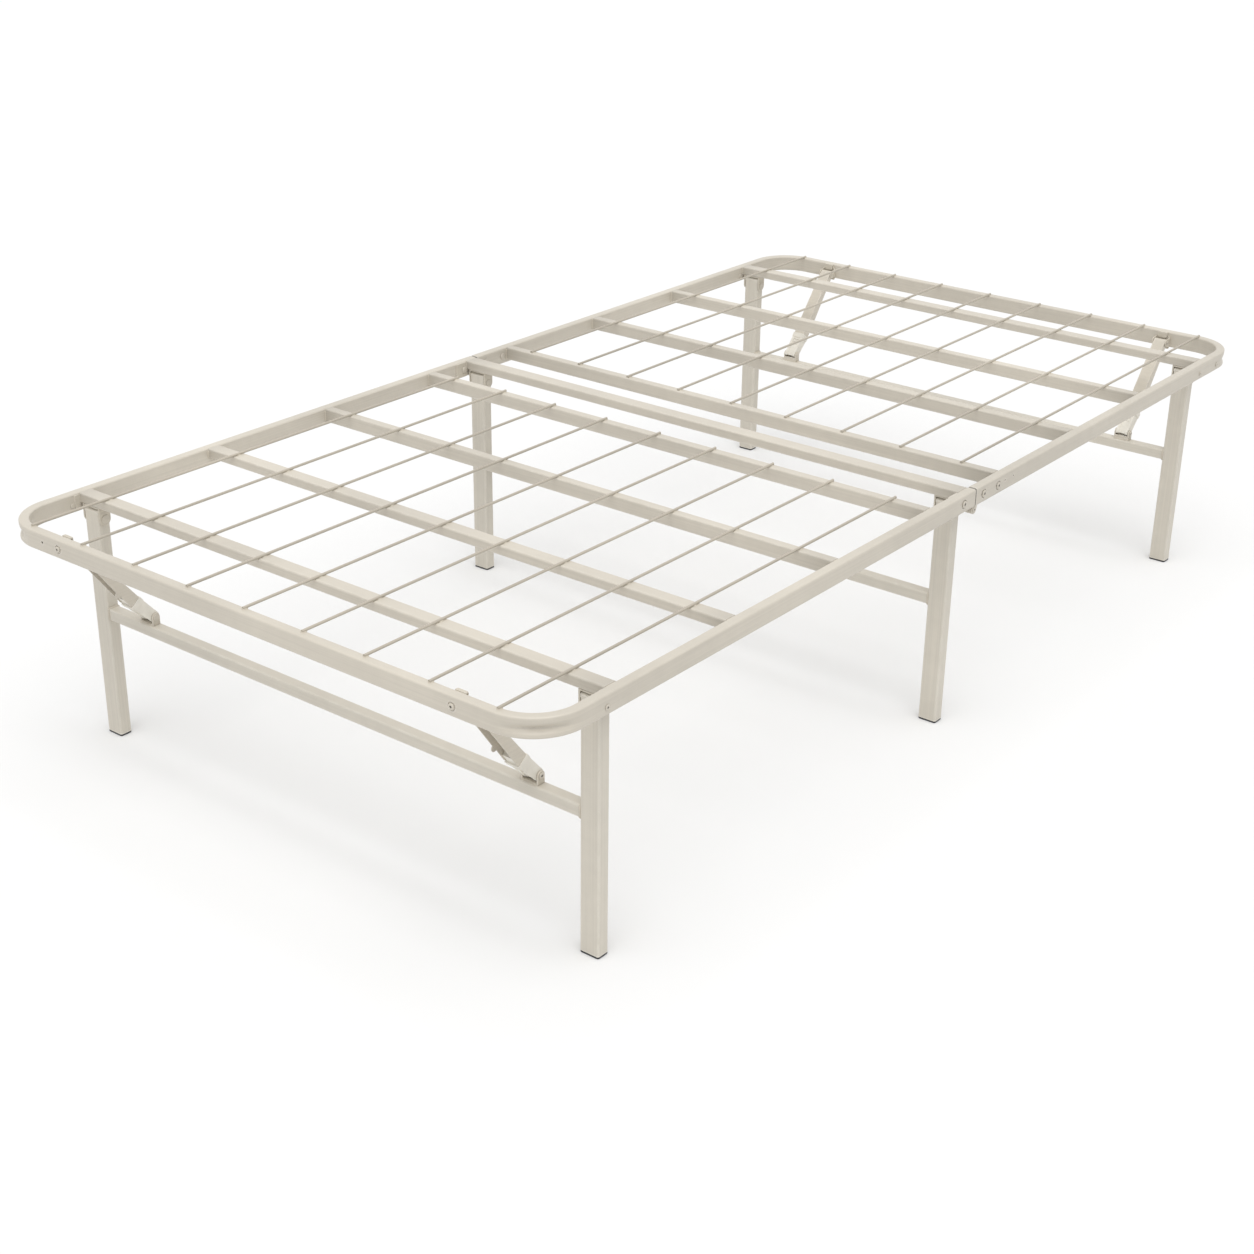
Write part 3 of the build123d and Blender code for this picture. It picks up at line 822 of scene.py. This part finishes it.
# Leg frames: two rectangular tube legs with a square crossbar welded between them, coated as one.
# A crown rounded about the pivot closes each leg top, and a collar weld runs right round each crossbar end.
leg_cream = (0.635, 0.592, 0.51)
leg_coat = coat_material("leg_coat", leg_cream, 620.0, 0.0035, 0.0003, upright_grain)
crossbar_coat = coat_material("crossbar_coat", leg_cream, 620.0, 0.003, 0.0003)
crossbar_edge = 2.5
crossbar_bead = 1.9
crown_pivot = round(middle_yz("foot_leg_pins")[1], 3)
crown_radius = 15.9
crown_half = 9.9
crown_steps = 10
crown_sunk = 4
crown_in = 0.1
for frame_name in ("foot", "mid", "head"):
    body = f"{frame_name}_legs"
    paint(f"{frame_name}_leg_l", leg_coat)
    paint(f"{frame_name}_leg_r", leg_coat)
    paint(f"{frame_name}_crossbar", crossbar_coat)
    low, high = box_mm(f"{frame_name}_crossbar")
    outline = rounded_outline(low.y, high.y, low.z, high.z, crossbar_edge)
    beads, crowns = Shapes(), Shapes()
    for side in (-1, 1):
        path = [(side * (high.x - weld_sunk), y, z) for y, z in outline]
        beads.add(*bead(path, (1, 0, 0), crossbar_bead, weld_ripple, True))
    for side in ("l", "r"):
        low, high = box_mm(f"{frame_name}_leg_{side}")
        middle = (low.y + high.y) / 2
        rows = [middle + crown_half * step / crown_steps for step in range(-crown_steps, crown_steps + 1)]
        arch = [(y, crown_pivot + math.sqrt(crown_radius**2 - (y - middle) ** 2)) for y in rows]
        outline = [(rows[0], high.z - crown_sunk)] + arch + [(rows[-1], high.z - crown_sunk)]
        crowns.add(*slab(outline, low.x + crown_in, high.x - crown_in, across_x))
    make_piece(f"{frame_name}_leg_crowns", crowns, plate_crease, leg_coat, body, "powder_coat", eased=0.8)
    make_piece(f"{frame_name}_crossbar_welds", beads, weld_crease, weld_coat, body, "powder_coat")


# Foot caps: near-black moulded plastic glides pushed into the leg ends, with a thin rim under the tube
# and a ribbed plug inside it.
mould_bump = 0.25
mould_lump = 0.0001


# Mould skin: tone, gloss and fine grain of moulded plastic, rubbed paler on its edges
mould_skin, taken, given = new_group(
    "mould_skin",
    [
        ("Plastic", "NodeSocketColor", (0.5, 0.5, 0.5, 1)),
        ("Rubbed", "NodeSocketColor", (0.6, 0.6, 0.6, 1)),
        ("Gloss Low", "NodeSocketFloat", 0.42),
        ("Gloss High", "NodeSocketFloat", 0.56),
    ],
    skin_outputs,
)
mould_place = mould_skin.nodes.new("ShaderNodeTexCoord").outputs["Object"]
mould_tone = spread(mould_skin, mottle(mould_skin, mould_place, 90.0, 3.0), 0.3, 0.7, 0.95, 1.04)
mould_toned = scaled(mould_skin, taken.outputs["Plastic"], mould_tone)
mould_rub = mould_skin.nodes.new("ShaderNodeGroup")
mould_rub.node_tree = edge_rub_and_highlight
mould_rub.inputs["Radius"].default_value = 0.0008
mould_share = calc(mould_skin, "MULTIPLY", mould_rub.outputs["Mask"], 0.5)
mould_edge = blended(mould_skin, mould_share, mould_toned, taken.outputs["Rubbed"])
mould_skin.links.new(mould_edge, given.inputs["Colour"])
mould_gloss = mould_skin.nodes.new("ShaderNodeMapRange")
mould_skin.links.new(mottle(mould_skin, mould_place, 140.0, 2.0), mould_gloss.inputs["Value"])
mould_skin.links.new(taken.outputs["Gloss Low"], mould_gloss.inputs["To Min"])
mould_skin.links.new(taken.outputs["Gloss High"], mould_gloss.inputs["To Max"])
mould_skin.links.new(mould_gloss.outputs["Result"], given.inputs["Roughness"])
mould_skin.links.new(mottle(mould_skin, mould_place, 2200.0, 2.0), given.inputs["Height"])


def mould_material(name, plastic, rubbed, gloss_low, gloss_high):
    values = {"Plastic": (*plastic, 1), "Rubbed": (*rubbed, 1)}
    values.update({"Gloss Low": gloss_low, "Gloss High": gloss_high})
    return skin_material(name, mould_skin, values, mould_bump, mould_lump)


cap_plastic = mould_material("cap_plastic", (0.025, 0.025, 0.027), (0.05, 0.05, 0.05), 0.45, 0.6)
cap_edge = 3.0
cap_least_edge = 0.4
cap_crease = 35
cap_levels = [(0.0, 1.1), (0.25, 0.45), (0.7, 0.1), (1.2, 0.02), (2.6, 0.02), (2.95, 0.2)]
cap_levels += [(2.95, 1.7), (5.0, 1.7), (5.4, 2.1), (6.6, 2.1), (7.0, 1.7), (9.0, 1.7), (9.4, 2.1)]
cap_levels += [(10.6, 2.1), (11.0, 1.7), (13.0, 1.75), (16.0, 2.2), (17.0, 2.8)]


# Stack of rounded rectangles, closed at both ends: pairs of height and inset from the leg's outline
def stacked(levels, low, high):
    points = []
    for z, inset in levels:
        edge = max(cap_edge - inset, cap_least_edge)
        ring = rounded_outline(low.x + inset, high.x - inset, low.y + inset, high.y - inset, edge)
        points.extend([(x, y, z) for x, y in ring])
    count = len(points) // len(levels)
    faces = lids(points, count)
    for level in range(len(levels) - 1):
        faces += band(level * count, (level + 1) * count, count)
    return points, faces


for frame_name in ("foot", "mid", "head"):
    body = f"{frame_name}_legs"
    shapes = Shapes()
    for side in ("l", "r"):
        shapes.add(*stacked(cap_levels, *box_mm(f"{frame_name}_leg_{side}")))
    replaced = f"{frame_name}_leg_caps"
    make_piece(f"{frame_name}_cap_set", shapes, cap_crease, cap_plastic, body, "cap_plastic", replaced)


# Saddles: small pressed U-brackets welded on the outer crossbars, each with a cross pin for the strut end.
# The edge of the base towards the middle of the bed is turned up between the ears.
saddle_coat = coat_material("saddle_coat", (0.61, 0.558, 0.47), 700.0, 0.0012, 0.0003)
saddle_pin = dict(shank_radius=3.0, grip=28.0, head_radius=4.6, head_tall=1.5, inner_tall=0.8)
saddle_wide = 28.0
saddle_bead = 1.3
saddle_ripple = 2.0
bead_in = 1.0
bead_up = 0.3
turned_in = 2.2
turned_depths = (0.1, 1.7)
turned_low = 0.5
turned_high = 8.0
for half, end in halves:
    body = f"{half}_legs"
    paint(f"{half}_saddles", saddle_coat)
    soften(f"{half}_saddles", 0.6)
    low, high = box_mm(f"{half}_saddles")
    edge_face = low.y if end == 1 else high.y
    near, far = sorted(edge_face + end * depth for depth in turned_depths)
    beads, turned = Shapes(), Shapes()
    for side in (-1, 1):
        outer = side * high.x
        inner = side * (high.x - saddle_wide)
        left, right = sorted((outer - side * turned_in, inner + side * turned_in))
        turned.add(*block((left, near, low.z + turned_low), (right, far, low.z + turned_high)))
        for y in (low.y, high.y):
            start = (outer - side * bead_in, y, low.z + bead_up)
            stop = (inner + side * bead_in, y, low.z + bead_up)
            beads.add(*bead([start, stop], (0, 0, 1), saddle_bead, saddle_ripple, False))
    make_piece(f"{half}_saddle_edges", turned, plate_crease, saddle_coat, body, "powder_coat", eased=0.5)
    fit_pin_pair(f"{half}_saddle_pin_set", f"{half}_saddle_pins", saddle_pin, body)
    make_piece(f"{half}_saddle_welds", beads, weld_crease, weld_coat, body, "powder_coat")


# Strut brackets: folded steel with a back plate, two round ears, and a narrow tongue bent over level with
# the rail. One domed bolt holds each to the end rail's inner face, and a pivot pin runs through the ears.
strut_pin = dict(shank_radius=3.0, grip=26.8, head_radius=4.6, head_tall=1.5, inner_tall=0.8)
strut_bolt = dict(shank_radius=3.0, grip=17.0, head_radius=strut_bolt_radius, head_tall=2.0, inner_tall=0.5)
bracket_half = 13.4
bracket_sheet = 1.9
bracket_top = deck - 0.1
bracket_reach = -4.4
plate_thick = 2.0
plate_sunk = 0.02
plate_corner = 3.0
shoulder_low = 8
shoulder_high = 13
ear_radius = 7.5
ear_rim = (-90, 153, 17)
ear_back = -8.5
tongue_half = 8.5
tongue_back = -9.8
tongue_corner = 2.0
lip_low = 10
lip_in = 0.1
for half, end in halves:
    body = f"{half}_half"
    pivot_y, pivot_z = middle_yz(f"{half}_strut_pins")
    bolts, bolt_stems = Shapes(), Shapes()
    for side, letter in ((-1, "l"), (1, "r")):
        replaced = f"{half}_strut_bracket_{letter}"
        plate_low = box_mm(replaced)[0].z
        plate_back = end * end_inner
        centre_x = side * strut_x

        def on_rail(x, z, y):
            return (centre_x + x, y, z)

        def on_ear(out, z, x):
            return (centre_x + x, pivot_y - end * out, z)

        def on_top(out, x, z):
            return (centre_x + x, pivot_y - end * out, z)

        plate = Shapes()
        corner_x = bracket_half - plate_corner
        outline = arc_points((corner_x, plate_low + plate_corner), plate_corner, 270)
        outline += [(bracket_half, pivot_z + shoulder_low), (tongue_half, pivot_z + shoulder_high)]
        outline.append((tongue_half, bracket_top - 1))
        outline += [(-x, z) for x, z in outline[:-4:-1]]
        outline += arc_points((-corner_x, plate_low + plate_corner), plate_corner, 180)
        plate.add(*slab(outline, plate_back - end * plate_thick, plate_back - end * plate_sunk, on_rail))
        rim = arc_points((0, pivot_z), ear_radius, *ear_rim)
        ear = [(ear_back, pivot_z - ear_radius)] + rim + [(ear_back, pivot_z + shoulder_low)]
        for ear_side in (-1, 1):
            near, far = sorted((ear_side * (bracket_half - bracket_sheet), ear_side * bracket_half))
            plate.add(*slab(ear, near, far, on_ear))
        front = bracket_reach - tongue_corner
        top = arc_points((front, tongue_corner - tongue_half), tongue_corner, 270)
        top += arc_points((front, tongue_half - tongue_corner), tongue_corner, 0)
        top += [(tongue_back, tongue_half), (tongue_back, -tongue_half)]
        plate.add(*slab(top, bracket_top - bracket_sheet, bracket_top, on_top))
        corner_x = tongue_half - plate_corner
        lip = arc_points((corner_x, pivot_z + lip_low), plate_corner, 270)
        lip += [(tongue_half, bracket_top - 1), (-tongue_half, bracket_top - 1)]
        lip += arc_points((-corner_x, pivot_z + lip_low), plate_corner, 180)
        lip_face = pivot_y - end * (bracket_reach - lip_in)
        plate.add(*slab(lip, lip_face, lip_face + end * bracket_sheet, on_rail))
        name = f"{half}_strut_holder_{letter}"
        make_piece(name, plate, plate_crease, bracket_coat, body, "powder_coat", replaced, eased=0.5)
        base = (centre_x, end * end_outer, middle_yz(f"{half}_strut_bolts")[1])
        add_rivet(bolts, bolt_stems, base, (0, end, 0), **strut_bolt)
    fit_pin_pair(f"{half}_strut_pin_set", f"{half}_strut_pins", strut_pin, body)
    fit_rivets(f"{half}_strut_bolt_set", bolts, bolt_stems, body, f"{half}_strut_bolts")


# Struts: folded sheet steel channels, curled over at the pivot, that deepen towards the lower end.
# Each ends in a moulded plastic clip, held in the channel by a shank, whose fork snaps over the saddle pin.
strut_coat = coat_material("strut_coat", (0.605, 0.557, 0.473), 650.0, 0.0015, 0.0003)
clip_plastic = mould_material("clip_plastic", (0.76, 0.725, 0.645), (0.84, 0.81, 0.74), 0.4, 0.52)
strut_sheet = 1.6
web_rise = 6.0
web_half = 10.6
web_back = -1.5
curl = (84, 120, 10)
curl_in = 0.1
flange_inner = 9.5
flange_outer = 11.0
pivot_fall = -6.0
deep_fall = -12.5
deepen_from = 16
deepen_short = 8
lobe_back = 33.0
lobe_radius = 5.0
clip_long = 45.5
clip_gap = 0.2
fork_half = 3.3
cheek_inner = 6.2
cheek_outer = 11.1
core_half = 6.3
core_trim = 1.1
collar = [(0.3, -13.2), (8, -12.9), (10, -11.8), (10, 6.2), (8, 7.0), (0.3, 7.0)]
shank = [(-14, -10.2), (0.4, -10.6), (0.4, 4.3), (-14, 4.3)]
snap_tab = [(11.5, -12.6), (22, -11.8), (24, -9.6), (24, -6), (11.5, -6)]
clip_bars = ((collar, 11.9), (shank, 9.3), (snap_tab, 4.6))
grip_rib = [(0, 4), (0, 6.2), (0.8, 7.1), (1.6, 7.1), (2.4, 6.2), (2.4, 4)]
rib_half = 6.4
rib_places = (12, 17.5, 23)
stud = [(-9, 4), (-5, 4), (-5, 6.5), (-6, 7.0), (-8, 7.0), (-9, 6.5)]
stud_half = 1.6
stud_places = (-5.0, 5.0)


def flange_fall(along, start):
    share = (along - deepen_from) / (start - deepen_short - deepen_from)
    return pivot_fall + (deep_fall - pivot_fall) * min(max(share, 0), 1)


def flange_outline(start, with_lobe):
    outline = arc_points((0, 0), web_rise, 90, 180, 12)
    outline += [(along, flange_fall(along, start)) for along in (deepen_from, 30)]
    if with_lobe:
        middle = start - lobe_back
        outline += arc_points((middle, flange_fall(middle, start)), lobe_radius, 180, 180, 12)
    outline += [(start - 4, flange_fall(start - 4, start)), (start, deep_fall + 1.5), (start, web_rise)]
    return outline


def clip_outline(start, pin, trim):
    tip = pin + 4.9 - trim
    lower = [(start, trim - 12.4), (start + 9, trim - 12.0), (start + 22, trim - 10.0)]
    lower += [(pin - 10, trim - 8.6), (pin - 4, trim - 8.1), (pin + 1, trim - 7.9)]
    lower += [(pin + 3.6, trim - 7.1), (tip, -5.9), (tip, -4.3), (pin + 3.2, -fork_half)]
    fork = arc_points((pin, 0), fork_half, -90, -180, 10)
    upper = [(pin + 3.2, fork_half), (tip, 4.3), (tip, 5.9), (pin + 3.6, 7.1 - trim)]
    upper += [(pin + 1, 7.9 - trim), (pin - 4, 8.0 - trim), (pin - 10, 7.5 - trim), (start, 6.0 - trim)]
    return lower + fork + upper


def moved(outline, along):
    return [(along + ahead, across) for ahead, across in outline]


for half, end in halves:
    pivot = Vector((0, *middle_yz(f"{half}_strut_pins")))
    saddle = Vector((0, *middle_yz(f"{half}_saddle_pins")))
    way = (saddle - pivot).normalized()
    web = Vector((0, end * way.z, -end * way.y))
    pin = (saddle - pivot).length
    start = pin - clip_long
    for side, letter in ((-1, "l"), (1, "r")):
        body = f"{half}_strut_{letter}_arm"

        def on_strut(along, across, x):
            return pivot + way * along + web * across + Vector((side * strut_x + x, 0, 0))

        channel = Shapes()
        for flange in (-1, 1):
            near, far = sorted((flange * flange_inner, flange * flange_outer))
            channel.add(*slab(flange_outline(start, flange == -side), near, far, on_strut))
        inside = web_rise - strut_sheet
        web_strip = [(web_back, inside), (start, inside), (start, web_rise), (web_back, web_rise - 0.15)]
        channel.add(*slab(web_strip, -web_half, web_half, on_strut))
        wrap = arc_points((0, 0), web_rise - curl_in, *curl)
        wrap += arc_points((0, 0), inside, *curl)[::-1]
        channel.add(*slab(wrap, -web_half, web_half, on_strut))
        name, replaced = f"{half}_strut_channel_{letter}", f"{half}_strut_{letter}"
        make_piece(name, channel, plate_crease, strut_coat, body, "powder_coat", replaced, eased=0.45)
        clip = Shapes()
        for cheek in (-1, 1):
            near, far = sorted((cheek * cheek_inner, cheek * cheek_outer))
            clip.add(*slab(clip_outline(start + clip_gap, pin, 0.0), near, far, on_strut))
        core = clip_outline(start + clip_gap, pin, core_trim)
        clip.add(*slab(core, -core_half, core_half, on_strut))
        for outline, half_wide in clip_bars:
            clip.add(*slab(moved(outline, start), -half_wide, half_wide, on_strut))
        for place in rib_places:
            clip.add(*slab(moved(grip_rib, start + place), -rib_half, rib_half, on_strut))
        for place in stud_places:
            clip.add(*slab(moved(stud, start), place - stud_half, place + stud_half, on_strut))
        name, replaced = f"{half}_clip_{letter}", f"{half}_strut_clip_{letter}"
        make_piece(name, clip, plate_crease, clip_plastic, body, "clip_plastic", replaced, eased=0.6)


# Floor: a plain pale studio sweep in matt paint, one flat face level with the feet.
# It carries the bed's soft shadow and is no part of it.
floor_reach = 40
floor_corners = [(x * floor_reach, y * floor_reach, 0) for x, y in ((-1, -1), (1, -1), (1, 1), (-1, 1))]
floor_mesh = bpy.data.meshes.new("floor")
floor_mesh.from_pydata(floor_corners, [], [(0, 1, 2, 3)])
floor = bpy.data.objects.new("floor", floor_mesh)
bpy.context.collection.objects.link(floor)
floor_paint = bpy.data.materials.new("floor_paint")
floor_paint.use_nodes = True
floor_shader = floor_paint.node_tree.nodes["Principled BSDF"]
floor_shader.inputs["Base Color"].default_value = (0.85, 0.85, 0.848, 1)
floor_shader.inputs["Roughness"].default_value = 0.95
floor_shader.inputs["Specular IOR Level"].default_value = 0.1
floor_mesh.materials.append(floor_paint)


# Light: an even white room, which looks full white in the picture and in reflections.
# One broad high light from the foot end's right gives the soft shadow its side.
world = bpy.data.worlds.new("studio")
world.use_nodes = True
bpy.context.scene.world = world
tree = world.node_tree
room = tree.nodes["Background"]
room.inputs["Color"].default_value = (1, 1, 1, 1)
room.inputs["Strength"].default_value = 0.6
seen = tree.nodes.new("ShaderNodeBackground")
seen.inputs["Color"].default_value = (1, 1, 1, 1)
seen.inputs["Strength"].default_value = 1.0
ray = tree.nodes.new("ShaderNodeLightPath")
shown = calc(tree, "MAXIMUM", ray.outputs["Is Camera Ray"], ray.outputs["Is Glossy Ray"])
shown = calc(tree, "MAXIMUM", shown, ray.outputs["Is Transmission Ray"])
choose = tree.nodes.new("ShaderNodeMixShader")
tree.links.new(shown, choose.inputs["Fac"])
tree.links.new(room.outputs["Background"], choose.inputs[1])
tree.links.new(seen.outputs["Background"], choose.inputs[2])
tree.links.new(choose.outputs["Shader"], tree.nodes["World Output"].inputs["Surface"])
high_light = bpy.data.lights.new("high_light", "SUN")
high_light.energy = 1.95
high_light.angle = math.radians(60)
lamp = bpy.data.objects.new("high_light", high_light)
lamp.rotation_euler = Vector((-0.2, 0.22, -1.0)).to_track_quat("-Z", "Y").to_euler()
bpy.context.collection.objects.link(lamp)
bpy.context.scene.view_settings.view_transform = "Standard"


# Camera: standing off the near corner at the foot end's right, looking down along the bed.
# Its place, turn and lens come from a fit to the lines of the bed.
camera_place = (1.7757, -2.4352, 1.4228)
azimuth = math.radians(38.09)
elevation = math.radians(25.03)
roll = math.radians(0.72)
level = math.cos(elevation)
view = Vector((-math.sin(azimuth) * level, math.cos(azimuth) * level, -math.sin(elevation)))
right = Vector((math.cos(azimuth), math.sin(azimuth), 0))
up = right.cross(view)
tilted_right = right * math.cos(roll) + up * math.sin(roll)
tilted_up = up * math.cos(roll) - right * math.sin(roll)
camera = bpy.data.objects.new("camera", bpy.data.cameras.new("camera"))
camera.data.sensor_width = 36.0
camera.data.lens = 57.62
turn = Matrix((tilted_right, tilted_up, -view)).transposed()
camera.matrix_world = Matrix.Translation(camera_place) @ turn.to_4x4()
bpy.context.collection.objects.link(camera)
bpy.context.scene.camera = camera
